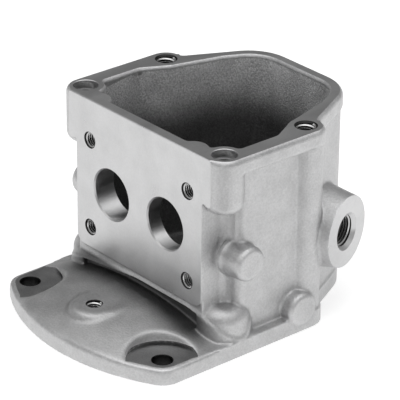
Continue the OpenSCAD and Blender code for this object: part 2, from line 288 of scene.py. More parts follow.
@dataclass(frozen=True)
class Metal:
    """A bare aluminium surface with its own grain."""

    name: str
    grain: Grain
    dark: tuple[float, float, float]
    light: tuple[float, float, float]
    smooth: float
    rough: float
    bump: float
    blotch_range: tuple[float, float] = (0.3, 0.7)

    def material(self) -> bpy.types.Material:
        """Builds the material.

        Returns:
            The material, with a Principled shader fed by the grain.
        """
        stuff = bpy.data.materials.new(self.name)
        stuff.use_nodes = True
        tree = stuff.node_tree
        shader = tree.nodes["Principled BSDF"]
        shader.inputs["Metallic"].default_value = 1.0
        grain = tree.nodes.new("ShaderNodeGroup")
        grain.node_tree = self.grain.group()
        tone = tree.nodes.new("ShaderNodeMix")
        tone.data_type = "RGBA"
        tone.inputs[MIX_A].default_value = (*self.dark, 1.0)
        tone.inputs[MIX_B].default_value = (*self.light, 1.0)
        tree.links.new(grain.outputs["Tone"], tone.inputs[0])
        tree.links.new(tone.outputs[MIX_COLOR], shader.inputs["Base Color"])
        shine = tree.nodes.new("ShaderNodeMapRange")
        shine.inputs["From Min"].default_value = self.blotch_range[0]
        shine.inputs["From Max"].default_value = self.blotch_range[1]
        shine.inputs["To Min"].default_value = self.smooth
        shine.inputs["To Max"].default_value = self.rough
        tree.links.new(grain.outputs["Blotch"], shine.inputs["Value"])
        tree.links.new(shine.outputs["Result"], shader.inputs["Roughness"])
        bump = tree.nodes.new("ShaderNodeBump")
        bump.inputs["Strength"].default_value = 1.0
        bump.inputs["Distance"].default_value = self.bump * MM
        tree.links.new(grain.outputs["Height"], bump.inputs["Height"])
        tree.links.new(bump.outputs["Normal"], shader.inputs["Normal"])
        return stuff


@dataclass(frozen=True)
class CastMetal(Metal):
    """The blasted skin, with painted shade in its hollows, in the cove and on the flange top,
    and lighter on its sharp edges.
    """

    flat: float = 0.5
    spread: float = 0.045
    # Tone scale in hollows, which is painted shade, and on sharp edges, which it lightens
    hollow: float = 0.78
    edge_lift: float = 1.18
    # Where the cove under the pad gets painted shade, in millimetres, and the tone at its
    # deepest
    cove_y: tuple[float, float] = (-17.0, -1.5)
    cove_end: tuple[float, float] = (9.0, 5.0)
    cove_z: tuple[float, float] = (22.0, 19.5)
    cove_x: tuple[float, float] = (64.0, 40.0)
    cove: float = 0.25
    # The flange top takes this share of the cove's painted shade
    plate_z: tuple[float, float] = (8.2, 10.0)
    plate: float = 0.30

    def painted_shade_group(self) -> bpy.types.NodeTree:
        """Builds the scale of the tone: painted shade in the hollows, the cove and the flange
        top, and lighter sharp edges.

        Returns:
            A tree with one output that scales the tone, one on flat skin.
        """
        tree = bpy.data.node_groups.new("cast_painted_shade", "ShaderNodeTree")
        tree.interface.new_socket(
            name="PaintedShade", in_out="OUTPUT", socket_type="NodeSocketFloat"
        )
        out = tree.nodes.new("NodeGroupOutput")
        form = tree.nodes.new("ShaderNodeNewGeometry")
        bend = tree.nodes.new("ShaderNodeFloatCurve")
        # The curve holds half the tone scale, which is doubled after it
        points = bend.mapping.curves[0].points
        points[0].location = (self.flat - self.spread, self.hollow / 2)
        points[1].location = (self.flat + self.spread, self.edge_lift / 2)
        points.new(self.flat, 0.5)
        bend.mapping.update()
        tree.links.new(form.outputs["Pointiness"], bend.inputs["Value"])
        twice = tree.nodes.new("ShaderNodeMath")
        twice.operation = "MULTIPLY"
        twice.inputs[1].default_value = 2.0
        tree.links.new(bend.outputs["Value"], twice.inputs[0])
        place = tree.nodes.new("ShaderNodeTexCoord")
        parts = tree.nodes.new("ShaderNodeSeparateXYZ")
        tree.links.new(place.outputs["Object"], parts.inputs[0])
        # Mask of painted shade: the cove under the pad, and in part the whole flange top
        reach = [
            self.ramp(tree, parts.outputs["Y"], *self.cove_y),
            self.ramp(tree, parts.outputs["Y"], *self.cove_end),
            self.ramp(tree, parts.outputs["Z"], *self.cove_z),
            self.ramp(tree, parts.outputs["Z"], *self.plate_z),
        ]
        reach[0].node.inputs["To Min"].default_value = self.plate
        wide = tree.nodes.new("ShaderNodeMath")
        wide.operation = "ABSOLUTE"
        tree.links.new(parts.outputs["X"], wide.inputs[0])
        reach.append(self.ramp(tree, wide.outputs[0], *self.cove_x))
        inside = reach[0]
        for factor in reach[1:]:
            step = tree.nodes.new("ShaderNodeMath")
            step.operation = "MULTIPLY"
            tree.links.new(inside, step.inputs[0])
            tree.links.new(factor, step.inputs[1])
            inside = step.outputs[0]
        # Painted shade: where the mask is full, the tone falls to the cove's level
        dull = tree.nodes.new("ShaderNodeMapRange")
        dull.inputs["To Min"].default_value = 1.0
        dull.inputs["To Max"].default_value = self.cove
        tree.links.new(inside, dull.inputs["Value"])
        both = tree.nodes.new("ShaderNodeMath")
        both.operation = "MULTIPLY"
        tree.links.new(twice.outputs[0], both.inputs[0])
        tree.links.new(dull.outputs["Result"], both.inputs[1])
        tree.links.new(both.outputs[0], out.inputs["PaintedShade"])
        return tree

    def ramp(
        self, tree: bpy.types.NodeTree, value: bpy.types.NodeSocket, start: float,
        end: float,
    ) -> bpy.types.NodeSocket:
        """Adds a smooth step from nought at one place to one at another.

        Args:
            tree: Tree that takes the node.
            value: Coordinate in metres.
            start: Millimetres at which the step starts.
            end: Millimetres at which it ends.

        Returns:
            The step's output.
        """
        low, high = min(start, end), max(start, end)
        step = tree.nodes.new("ShaderNodeMapRange")
        step.interpolation_type = "SMOOTHSTEP"
        step.inputs["From Min"].default_value = low * MM
        step.inputs["From Max"].default_value = high * MM
        step.inputs["To Min"].default_value = 0.0 if start < end else 1.0
        step.inputs["To Max"].default_value = 1.0 if start < end else 0.0
        tree.links.new(value, step.inputs["Value"])
        return step.outputs["Result"]

    def material(self) -> bpy.types.Material:
        """Builds the material.

        Returns:
            The material, with painted shade in its tone and its sharp edges lighter.
        """
        stuff = super().material()
        tree = stuff.node_tree
        shader = tree.nodes["Principled BSDF"]
        tone = shader.inputs["Base Color"].links[0].from_socket
        # Painted shade in the hollows, the cove and the flange top, and lighter sharp edges,
        # scale the tone
        painted_shade_node = tree.nodes.new("ShaderNodeGroup")
        painted_shade_node.node_tree = self.painted_shade_group()
        edge_lift = tree.nodes.new("ShaderNodeVectorMath")
        edge_lift.operation = "SCALE"
        tree.links.new(tone, edge_lift.inputs[0])
        tree.links.new(painted_shade_node.outputs["PaintedShade"], edge_lift.inputs["Scale"])
        tree.links.new(edge_lift.outputs["Vector"], shader.inputs["Base Color"])
        return stuff


@dataclass(frozen=True)
class InnerMetal(Metal):
    """The unblasted skin of the cavity, with painted shade that darkens it towards its floor.
    """

    # Painted shade from top_z down to deep_z, in millimetres, where the tone falls to deep
    top_z: float = 97.0
    deep_z: float = 69.0
    deep: float = 0.17

    def depth_group(self) -> bpy.types.NodeTree:
        """Builds the mask of painted shade by depth.

        Returns:
            A tree with one output, one at the rim and less towards the floor.
        """
        tree = bpy.data.node_groups.new("cavity_depth", "ShaderNodeTree")
        tree.interface.new_socket(
            name="UnshadedShare", in_out="OUTPUT", socket_type="NodeSocketFloat"
        )
        out = tree.nodes.new("NodeGroupOutput")
        place = tree.nodes.new("ShaderNodeTexCoord")
        parts = tree.nodes.new("ShaderNodeSeparateXYZ")
        tree.links.new(place.outputs["Object"], parts.inputs[0])
        unshaded_share = tree.nodes.new("ShaderNodeMapRange")
        unshaded_share.interpolation_type = "SMOOTHSTEP"
        unshaded_share.inputs["From Min"].default_value = self.deep_z * MM
        unshaded_share.inputs["From Max"].default_value = self.top_z * MM
        unshaded_share.inputs["To Min"].default_value = self.deep
        tree.links.new(parts.outputs["Z"], unshaded_share.inputs["Value"])
        tree.links.new(unshaded_share.outputs["Result"], out.inputs["UnshadedShare"])
        return tree

    def material(self) -> bpy.types.Material:
        """Builds the material.

        Returns:
            The material, darkened towards the floor by painted shade.
        """
        stuff = super().material()
        tree = stuff.node_tree
        shader = tree.nodes["Principled BSDF"]
        tone = shader.inputs["Base Color"].links[0].from_socket
        depth = tree.nodes.new("ShaderNodeGroup")
        depth.node_tree = self.depth_group()
        # Painted shade: the tone fades towards black with depth
        dull = tree.nodes.new("ShaderNodeMix")
        dull.data_type = "RGBA"
        dull.inputs[MIX_A].default_value = BLACK
        tree.links.new(depth.outputs["UnshadedShare"], dull.inputs[0])
        tree.links.new(tone, dull.inputs[MIX_B])
        tree.links.new(dull.outputs[MIX_COLOR], shader.inputs["Base Color"])
        return stuff


FINISHES = {
    Skin.CAST: CastMetal(
        name="cast_aluminium",
        grain=Grain("blast_grain", fine=1000.0, coarse=90.0, speck=0.5),
        dark=(0.52, 0.52, 0.523), light=(0.68, 0.68, 0.683),
        smooth=0.42, rough=0.52, bump=0.20,
    ),
    Skin.MILLED: Metal(
        name="milled_aluminium",
        grain=Grain(
            "mill_marks", fine=900.0, coarse=60.0, speck=0.3, stretch=(1.0, 0.35, 1.0)
        ),
        dark=(0.57, 0.57, 0.573), light=(0.67, 0.67, 0.673),
        smooth=0.27, rough=0.35, bump=0.03,
    ),
    # Near black tone: painted shade, for the shade deep inside the holes
    Skin.DRILLED: Metal(
        name="drilled_aluminium",
        grain=Grain("drill_marks", fine=2500.0, coarse=200.0, speck=0.5),
        dark=(0.02, 0.02, 0.02), light=(0.05, 0.05, 0.05),
        smooth=0.35, rough=0.45, bump=0.02,
    ),
    Skin.INNER: InnerMetal(
        name="cavity_aluminium",
        grain=Grain("cavity_grain", fine=1100.0, coarse=70.0, speck=0.75),
        dark=(0.55, 0.55, 0.553), light=(0.95, 0.95, 0.953),
        smooth=0.60, rough=0.72, bump=0.4,
    ),
    # Darker than the milled skin: a painted dark reflection of the shade under the pad
    Skin.SPOT: Metal(
        name="spot_faced_aluminium",
        grain=Grain("spot_marks", fine=1400.0, coarse=120.0, speck=0.6),
        dark=(0.26, 0.26, 0.262), light=(0.40, 0.40, 0.402),
        smooth=0.28, rough=0.36, bump=0.05,
    ),
    Skin.THREAD: Metal(
        name="thread_aluminium",
        grain=Grain("thread_marks", fine=2500.0, coarse=200.0, speck=0.5),
        dark=(0.55, 0.55, 0.55), light=(0.68, 0.68, 0.68),
        smooth=0.20, rough=0.28, bump=0.01,
    ),
}


@dataclass(frozen=True)
class Thread:
    """A screw thread, in millimetres."""

    root_r: float
    crest_r: float
    pitch: float


M8 = Thread(root_r=4.0, crest_r=3.4, pitch=1.25)
M10 = Thread(root_r=5.0, crest_r=4.25, pitch=1.5)


@dataclass(frozen=True)
class TappedHole:
    """A tapped hole, in millimetres."""

    mouth: tuple[float, float, float]
    inward: tuple[float, float, float]
    thread: Thread
    depth: float
    chamfer_r: float
    start: float = 0.0
    # Depth of the drill's point as a share of its radius
    drill_point: float = 0.6
    # Place of the first crest, in pitches below the mouth
    lead: float = 0.55
    # Turns left off at the bottom
    run_out: float = 0.6
    # Half the width of the ridge's foot in pitches, and how deep it sits in the wall
    ridge_half: float = 0.3
    ridge_sink: float = 0.03
    # Steps of the ridge in a turn
    steps: int = 32

    def profile(self) -> Profile:
        """Gives the turned outline of the drilled and chamfered hole."""
        r, first = self.thread.root_r, self.start
        slope = self.chamfer_r - r
        return [
            (0.0, first - OVER), (self.chamfer_r + OVER, first - OVER),
            (self.chamfer_r, first), (r, first + slope),
            (r, self.depth), (0.0, self.depth + self.drill_point * r),
        ]

    def cut(self, bm: bmesh.types.BMesh) -> None:
        """Adds the hole to a cutter."""
        turn_solid(bm, self.profile(), mm(*self.mouth), Vector(self.inward), Skin.DRILLED)

    def ridge(self, bm: bmesh.types.BMesh) -> None:
        """Adds the helical ridge of the thread.

        Args:
            bm: Bmesh that takes the ridge.
        """
        pitch, steps = self.thread.pitch, self.steps
        low = self.start + self.lead * pitch
        turns = (self.depth - low) / pitch - self.run_out
        half = self.ridge_half * pitch
        base = self.thread.root_r + self.ridge_sink
        corners = [(base, low - half), (self.thread.crest_r, low), (base, low + half)]
        part = bmesh.new()
        verts = [part.verts.new(mm(r, 0, t)) for r, t in corners]
        edges = [part.edges.new((verts[i], verts[(i + 1) % 3])) for i in range(3)]
        count = round(turns * steps)
        made = bmesh.ops.spin(
            part, geom=verts + edges, cent=(0, 0, 0), axis=(0, 0, 1),
            dvec=(0, 0, pitch * MM / steps), angle=math.tau * count / steps,
            steps=count, use_duplicate=False,
        )
        last = [e for e in made["geom_last"] if isinstance(e, bmesh.types.BMVert)]
        part.faces.new(verts)
        part.faces.new(last)
        place = axis_matrix(mm(*self.mouth), Vector(self.inward))
        bmesh.ops.transform(part, matrix=place, verts=part.verts)
        merge(bm, part)


@dataclass
class Machining:
    """Every face and hole that is cut after casting, in millimetres."""

    top_z: float = 108.0
    pad_low_z: float = 24.0
    pad_chamfer: float = 0.4
    bore_dx: float = 42.0
    bore_z: float = 61.2
    bore_r: float = 13.5
    bore_chamfer: float = 0.7
    pad_dx: float = 76.0
    pad_dz: float = 49.0
    rim_dx: float = 107.0
    rim_y: tuple[float, float] = (10.0, 63.0)
    dowel_r: float = 6.4
    dowel_depth: float = 5.0
    flange_dx: float = 106.0
    flange_y: float = -28.0
    seat_z: float = 8.6
    spot_r: float = 18.0
    fixing_r: float = 5.3
    boss_z: float = 17.6
    port: tuple[float, float, float] = (61.4, 86.0, 45.2)
    port_turn: float = 17.8
    port_r: float = 8.2
    port_chamfer: float = 2.0
    # Depths, mouths and chamfers of the holes
    pad_hole_depth: float = 10.0
    pad_mouth_r: float = 4.5
    rim_hole_depth: float = 24.0
    rim_mouth_r: float = 5.9
    dowel_hole_mouth_r: float = 5.4
    dowel_chamfer: float = 0.25
    boss_hole_depth: float = 14.0
    boss_mouth_r: float = 4.4
    bore_depth: float = 14.0
    fixing_depth: float = 10.0
    fixing_chamfer: float = 0.3
    port_depth: float = 24.0
    # How far the cone of the port runs on past its chamfer
    port_cone_over: float = 0.3
    # Thread of the port, which stands inward from its bore
    port_thread_depth: float = 19.0
    port_thread_h: float = 0.7
    port_pitch: float = 1.5
    # Cutters of the port's face and of the spot faces: how far they reach out and in
    port_face_r: float = 24.0
    port_face_over: float = 4.0
    port_face_in: float = 0.1
    spot_over: float = 1.5
    spot_in: float = 0.05
    # Plugs that fill the holes of the solid. A pair of the bores is a side and a depth,
    # and the last two are a radius and a depth
    plug_over: float = 2.0
    plug_deeper: float = 1.5
    plug_margin: float = 0.5
    rim_plug_r: float = 7.0
    bore_plug_r: float = 14.6
    bore_plugs: tuple[tuple[int, float], ...] = ((-1, 12.4), (1, 8.3))
    fixing_plug: tuple[float, float] = (6.0, 8.4)
    port_plug: tuple[float, float] = (11.5, 17.0)
    # Blocks that mill the rim and the pad
    mill_x: float = 90.0
    mill_y: tuple[float, float] = (-30.0, 130.0)
    mill_size: float = 20.0
    holes: list[TappedHole] = field(default_factory=list)

    def __post_init__(self) -> None:
        """Lists the tapped holes from the patterns."""
        front, rear = self.rim_y
        for sx in (-1, 1):
            for sz in (-1, 1):
                mouth = (sx * self.pad_dx / 2, 0.0, self.bore_z + sz * self.pad_dz / 2)
                self.holes.append(TappedHole(
                    mouth, (0, 1, 0), M8, self.pad_hole_depth, self.pad_mouth_r,
                ))
            self.holes.append(TappedHole(
                (sx * self.rim_dx / 2, rear, self.top_z), (0, 0, -1), M10,
                self.rim_hole_depth, self.rim_mouth_r,
            ))
            self.holes.append(TappedHole(
                (sx * self.rim_dx / 2, front, self.top_z), (0, 0, -1), M10,
                self.rim_hole_depth, self.dowel_hole_mouth_r, start=self.dowel_depth,
            ))
        self.holes.append(TappedHole(
            (0.0, self.flange_y, self.boss_z), (0, 0, -1), M8,
            self.boss_hole_depth, self.boss_mouth_r,
        ))

    def port_thread(self) -> TappedHole:
        """Gives the thread of the side port."""
        r = self.port_r
        thread = Thread(root_r=r, crest_r=r - self.port_thread_h, pitch=self.port_pitch)
        return TappedHole(
            self.port, tuple(self.port_axis()), thread, self.port_thread_depth,
            r + self.port_chamfer, start=self.port_chamfer,
        )

    def port_axis(self) -> Vector:
        """Gives the direction from the port's face into the housing."""
        turn = math.radians(self.port_turn)
        return Vector((-math.cos(turn), -math.sin(turn), 0.0))

    def plugs(self, bm: bmesh.types.BMesh) -> None:
        """Fills the holes of the solid, so that they are cut again after blasting.

        Args:
            bm: Bmesh that takes the plugs.
        """
        for side, length in self.bore_plugs:
            turn_solid(
                bm, rod(self.bore_plug_r, -self.plug_over, length),
                mm(side * self.bore_dx / 2, 0, self.bore_z), Vector((0, 1, 0)), Skin.CAST,
            )
        for hole in self.holes:
            on_rim = hole.mouth[2] == self.top_z
            on_pad = hole.inward == (0, 1, 0)
            over = self.plug_over if on_pad or on_rim else 0.0
            r = self.rim_plug_r if on_rim else hole.chamfer_r + self.plug_margin
            turn_solid(
                bm, rod(r, -over, hole.depth + self.plug_deeper),
                mm(*hole.mouth), Vector(hole.inward), Skin.CAST,
            )
        for sx in (-1, 1):
            turn_solid(
                bm, rod(self.fixing_plug[0], 0, self.fixing_plug[1]),
                mm(sx * self.flange_dx / 2, self.flange_y, self.seat_z),
                Vector((0, 0, -1)), Skin.CAST,
            )
        turn_solid(
            bm, rod(self.port_plug[0], -OVER, self.port_plug[1]), mm(*self.port),
            self.port_axis(), Skin.CAST,
        )

    def planes(self) -> list[bmesh.types.BMesh]:
        """Makes the cutters of the milled planes.

        Returns:
            One bmesh for each plane.
        """
        wide, size = self.mill_x, self.mill_size
        high = self.top_z + size
        top = bmesh.new()
        add_box(top, mm(-wide, self.mill_y[0], self.top_z), mm(wide, self.mill_y[1], high),
                Skin.MILLED)
        pad = bmesh.new()
        add_box(pad, mm(-wide, -size, self.pad_low_z), mm(wide, 0, high), Skin.MILLED)
        edge = bmesh.new()
        out = size / 2 * math.sqrt(0.5) - self.pad_chamfer / 2
        place = (
            Matrix.Translation(mm(0, -out, self.top_z + out))
            @ Matrix.Rotation(math.radians(45), 4, "X")
            @ Matrix.Diagonal((2 * wide * MM, size * MM, size * MM, 1.0))
        )
        bmesh.ops.create_cube(edge, size=1.0, matrix=place)
        for f in edge.faces:
            f.material_index = int(Skin.MILLED)
        face = bmesh.new()
        turn_solid(
            face, rod(self.port_face_r, -self.port_face_over, self.port_face_in),
            mm(*self.port), self.port_axis(), Skin.MILLED,
        )
        spot = bmesh.new()
        for sx in (-1, 1):
            turn_solid(
                spot, rod(self.spot_r, -self.spot_over, 0),
                mm(sx * self.flange_dx / 2, self.flange_y, self.seat_z - self.spot_in),
                Vector((0, 0, -1)), Skin.SPOT, steps=WIDE_STEPS,
            )
        spot.normal_update()
        for f in spot.faces:
            if abs(f.normal.z) < 0.5:
                f.material_index = int(Skin.CAST)
        return [top, pad, edge, face, spot]

    def drill(self) -> bmesh.types.BMesh:
        """Makes one cutter of all the holes.

        Returns:
            The bmesh of their closed solids.
        """
        bm = bmesh.new()
        for hole in self.holes:
            hole.cut(bm)
        for sx in (-1, 1):
            turn_solid(
                bm, chamfered(self.bore_r, self.bore_chamfer, self.bore_depth),
                mm(sx * self.bore_dx / 2, 0, self.bore_z), Vector((0, 1, 0)),
                Skin.MILLED, steps=WIDE_STEPS,
            )
        for sx in (-1, 1):
            turn_solid(
                bm, chamfered(self.fixing_r, self.fixing_chamfer, self.fixing_depth),
                mm(sx * self.flange_dx / 2, self.flange_y, self.seat_z),
                Vector((0, 0, -1)), Skin.DRILLED,
            )
        turn_solid(
            bm, rod(self.port_r, -OVER, self.port_depth), mm(*self.port),
            self.port_axis(), Skin.DRILLED,
        )
        return bm

    def seats(self) -> bmesh.types.BMesh:
        """Makes the cutter of the port's cone and the two dowel seats in the rim.

        Returns:
            The bmesh of their closed solids.
        """
        bm = bmesh.new()
        for sx in (-1, 1):
            turn_solid(
                bm, chamfered(self.dowel_r, self.dowel_chamfer, self.dowel_depth),
                mm(sx * self.rim_dx / 2, self.rim_y[0], self.top_z),
                Vector((0, 0, -1)), Skin.MILLED,
            )
        wide = self.port_r + self.port_chamfer + OVER
        narrow = self.port_r - self.port_cone_over
        deep = self.port_chamfer + self.port_cone_over
        turn_solid(
            bm, [(0, -OVER), (wide, -OVER), (narrow, deep), (0, deep)],
            mm(*self.port), self.port_axis(), Skin.MILLED,
        )
        return bm


@dataclass
class Housing:
    """The cast body, rounded as it comes from the mould and then machined."""

    machining: Machining
    stock: float = 2.0
    port_stock: float = 0.6
    voxel: float = 0.6
    soften: int = 5
    smooth: float = 0.5
    faces: int = 160000
    bead_r: float = 4.0
    bead_z: float = 104.8
    lip_r: float = 2.2
    lip_z: float = 106.1
    sharp: float = 32.0
    peg_r: float = 9.2
    peg_end: float = 3.0
    peg_root: float = 1.0
    peg_sink: float = 3.0
    pegs: tuple[tuple[float, ...], ...] = (
        (18.0, 50.2, 53.6, 66.2), (54.6, 12.2, 57.5, 65.2),
    )
    # Which hollows are filled, and by how many steps of smoothing
    hollow: float = 0.05
    fill_grow: int = 2
    fill: int = 8
    fill_cavity: int = 60
    plate_z: tuple[float, float] = (4.5, 20.0)
    plate_y: float = -5.0
    fill_plate: int = 45
    # Half width of the cavity along y, widened by the draft, and its other limits
    draft: float = 2.8
    inner_y: tuple[float, ...] = (7.5, 20.6, 44.0, 50.0, 63.0, 70.0, 80.0, 90.0, 100.0, 108.0)
    inner_x: tuple[float, ...] = (45.0, 52.6, 52.6, 49.7, 43.8, 41.9, 39.2, 36.1, 30.5, 25.0)
    inner_front: float = 12.0
    inner_low: float = 9.6
    bore_wall_low: float = 28.0
    lip_fill: float = 3.0
    lip_skin: float = 1.5
    # The floor of the cavity, which faces up
    floor_z: float = 12.0
    floor_y: tuple[float, float] = (16.0, 103.0)
    floor_up: float = 0.7
    # Where the cavity is split in two along y, and the middles that its walls face
    split_y: float = 40.0
    middle_y: tuple[float, float] = (45.0, 80.0)
    # Largest upward part of a normal that the bead takes, and how much of its radius
    bead_up: float = 0.6
    bead_part: float = 0.9
    # Half width of the stock on the pad, and its start above the pad's lower limit
    pad_stock_x: float = 53.6
    pad_stock_low: float = 1.0
    # Half width, rear and underside of the block that joins that stock to the rim's
    block_x: float = 48.0
    block_y: float = 4.0
    block_z: float = 100.0

    def raw(self) -> bmesh.types.BMesh:
        """Copies the solid with stock on its milled faces and its holes filled.

        Returns:
            The bmesh of the raw casting, as overlapping closed solids.
        """
        bm = bmesh.new()
        bm.from_mesh(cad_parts["housing"].data)
        bmesh.ops.remove_doubles(bm, verts=bm.verts, dist=SAME)
        top = self.machining.top_z * MM
        low = (self.machining.pad_low_z + self.pad_stock_low) * MM
        wide = self.pad_stock_x * MM
        port, axis = mm(*self.machining.port), self.machining.port_axis()
        reach = self.machining.port_face_r * MM
        for v in bm.verts:
            if v.co.z > top - NEAR:
                v.co.z = top + self.stock * MM
            if abs(v.co.y) < NEAR and v.co.z > low and abs(v.co.x) < wide:
                v.co.y = -self.stock * MM
            if abs((v.co - port).dot(axis)) < NEAR and (v.co - port).length < reach:
                v.co -= axis * self.port_stock * MM
        self.machining.plugs(bm)
        self.lugs(bm)
        high = self.machining.top_z + self.stock
        add_box(bm, mm(-self.block_x, -self.stock, self.block_z),
                mm(self.block_x, self.block_y, high), Skin.CAST)
        return bm

    def lugs(self, bm: bmesh.types.BMesh) -> None:
        """Adds the four side pegs at their cast fullness.

        Args:
            bm: Bmesh that takes them.
        """
        quarter = [math.radians(a) for a in (0, 22.5, 45, 67.5, 90)]
        r, end, root, sink = self.peg_r, self.peg_end, self.peg_root, self.peg_sink
        for y, z, start, tip in self.pegs:
            length = tip - start
            flare = [(r + root * (1 - math.sin(a)), root * (1 - math.cos(a)))
                     for a in quarter]
            nose = [(r - end * (1 - math.cos(a)), length - end * (1 - math.sin(a)))
                    for a in quarter]
            for side in (-1, 1):
                turn_solid(
                    bm, [(0, -sink), (r + root, -sink), *flare, *nose, (0, length)],
                    mm(side * start, y, z), Vector((side, 0, 0)), Skin.CAST,
                )

    def fill_hollows(self, piece: bpy.types.Object) -> None:
        """Rounds the inner corners more than the outer ones, as a mould does.

        Args:
            piece: The remeshed casting.
        """
        mesh = piece.data
        count = len(mesh.vertices)
        co = np.empty(count * 3)
        no = np.empty(count * 3)
        ends = np.empty(len(mesh.edges) * 2, dtype=np.int32)
        mesh.vertices.foreach_get("co", co)
        mesh.vertices.foreach_get("normal", no)
        mesh.edges.foreach_get("vertices", ends)
        co, no = co.reshape(-1, 3) / MM, no.reshape(-1, 3)
        a, b = ends[0::2], ends[1::2]
        step = co[b] - co[a]
        bend = np.bincount(a, (step * no[a]).sum(1), count)
        bend -= np.bincount(b, (step * no[b]).sum(1), count)
        chosen = bend > self.hollow
        for _ in range(self.fill_grow):
            near = chosen[a] | chosen[b]
            chosen[a[near]] = True
            chosen[b[near]] = True
        x, y, z = co.T
        inside = (np.abs(x) < np.interp(y, self.inner_y, self.inner_x) + self.draft)
        inside &= (y > self.inner_front) & (z > self.inner_low)
        inside &= z < self.lip_z - self.lip_fill
        plate = (z > self.plate_z[0]) & (z < self.plate_z[1]) & (y < self.plate_y)
        for part, steps in (
            (chosen & ~inside, self.fill), (chosen & inside, self.fill_cavity),
            (plate, self.fill_plate),
        ):
            group = piece.vertex_groups.new(name="soft")
            group.add(np.flatnonzero(part).tolist(), 1.0, "REPLACE")
            soft = piece.modifiers.new("soft", "SMOOTH")
            soft.factor = self.smooth
            soft.iterations = steps
            soft.vertex_group = group.name
            bake(piece)
            piece.vertex_groups.clear()

    def line_cavity(self, mesh: bpy.types.Mesh) -> None:
        """Gives the walls and the floor of the cavity their own skin.

        Args:
            mesh: Mesh of the rounded casting.
        """
        count = len(mesh.polygons)
        mid, normal = np.empty(count * 3), np.empty(count * 3)
        mesh.polygons.foreach_get("center", mid)
        mesh.polygons.foreach_get("normal", normal)
        x, y, z = (mid.reshape(-1, 3) / MM).T
        nx, ny, nz = normal.reshape(-1, 3).T
        near, far = self.middle_y
        inward = nx * x + ny * (y - np.where(y > self.split_y, far, near)) < 0
        on_floor = (nz > self.floor_up) & (z < self.floor_z)
        inward |= on_floor & (y > self.floor_y[0]) & (y < self.floor_y[1])
        wide = np.interp(y, self.inner_y, self.inner_x) + self.draft
        inside = inward & (np.abs(x) < wide) & (y > self.inner_y[0]) & (y < self.inner_y[-1])
        inside &= (z > self.inner_low) & (z < self.lip_z - self.lip_skin)
        inside &= (y > self.inner_front) | (z > self.bore_wall_low)
        skins = np.where(inside, int(Skin.INNER), int(Skin.CAST)).astype(np.int32)
        mesh.polygons.foreach_set("material_index", skins)

    def bead(self, mesh: bpy.types.Mesh) -> None:
        """Rounds both edges of the rim over towards the milled top.

        Args:
            mesh: Mesh of the rounded casting.
        """
        bm = bmesh.new()
        bm.from_mesh(mesh)
        bm.normal_update()
        near, far = self.middle_y
        for v in bm.verts:
            rise = v.co.z / MM - self.bead_z
            if rise <= 0 or abs(v.normal.z) > self.bead_up:
                continue
            middle = Vector((0, far if v.co.y > self.split_y * MM else near)) * MM
            flat = Vector((v.normal.x, v.normal.y)).normalized()
            r = self.bead_r
            if flat.dot(Vector((v.co.x, v.co.y)) - middle) <= 0:
                r = self.lip_r
                rise -= self.lip_z - self.bead_z
            rise = min(max(rise, 0.0), self.bead_part * r)
            inward = (r - math.sqrt(r * r - rise * rise)) * MM
            v.co.x -= flat.x * inward
            v.co.y -= flat.y * inward
        bm.to_mesh(mesh)
        bm.free()

    def cut(self, body: bpy.types.Object, cutter: bmesh.types.BMesh) -> None:
        """Takes a cutter out of the body.

        Args:
            body: The body, which gets a new mesh.
            cutter: Bmesh of the cutter, freed here.
        """
        tool = new_object("cutter", mesh_of(cutter, "cutter"))
        for finish in body.data.materials:
            tool.data.materials.append(finish)
        step = body.modifiers.new("cut", "BOOLEAN")
        step.operation = "DIFFERENCE"
        step.object = tool
        step.solver = "MANIFOLD"
        bake(body)
        bpy.data.objects.remove(tool)

    def build(self) -> bpy.types.Object:
        """Makes the housing.

        Returns:
            The finished object.
        """
        body = new_object("housing_casting", mesh_of(self.raw(), "housing_casting"))
        for skin in Skin:
            if skin is not Skin.THREAD:
                body.data.materials.append(FINISHES[skin].material())
        skin = body.modifiers.new("skin", "REMESH")
        skin.mode = "VOXEL"
        skin.voxel_size = self.voxel * MM
        skin.adaptivity = 0.0
        soft = body.modifiers.new("soften", "SMOOTH")
        soft.factor = self.smooth
        soft.iterations = self.soften
        bake(body)
        self.fill_hollows(body)
        self.bead(body.data)
        thin = body.modifiers.new("thin", "DECIMATE")
        thin.ratio = min(1.0, self.faces / (2 * len(body.data.polygons)))
        bake(body)
        self.line_cavity(body.data)
        for cutter in self.machining.planes():
            self.cut(body, cutter)
        self.cut(body, self.machining.drill())
        self.cut(body, self.machining.seats())
        body.data.shade_smooth()
        body.data.set_sharp_from_angle(angle=math.radians(self.sharp))
        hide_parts("housing")
        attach(body, "root")
        return body

    def threads(self) -> bpy.types.Object:
        """Makes the ridges of all the threads.

        Returns:
            The finished object.
        """
        bm = bmesh.new()
        for hole in (*self.machining.holes, self.machining.port_thread()):
            hole.ridge(bm)
        piece = new_object("housing_threads", mesh_of(bm, "housing_threads"))
        piece.data.materials.append(FINISHES[Skin.THREAD].material())
        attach(piece, "root")
        return piece


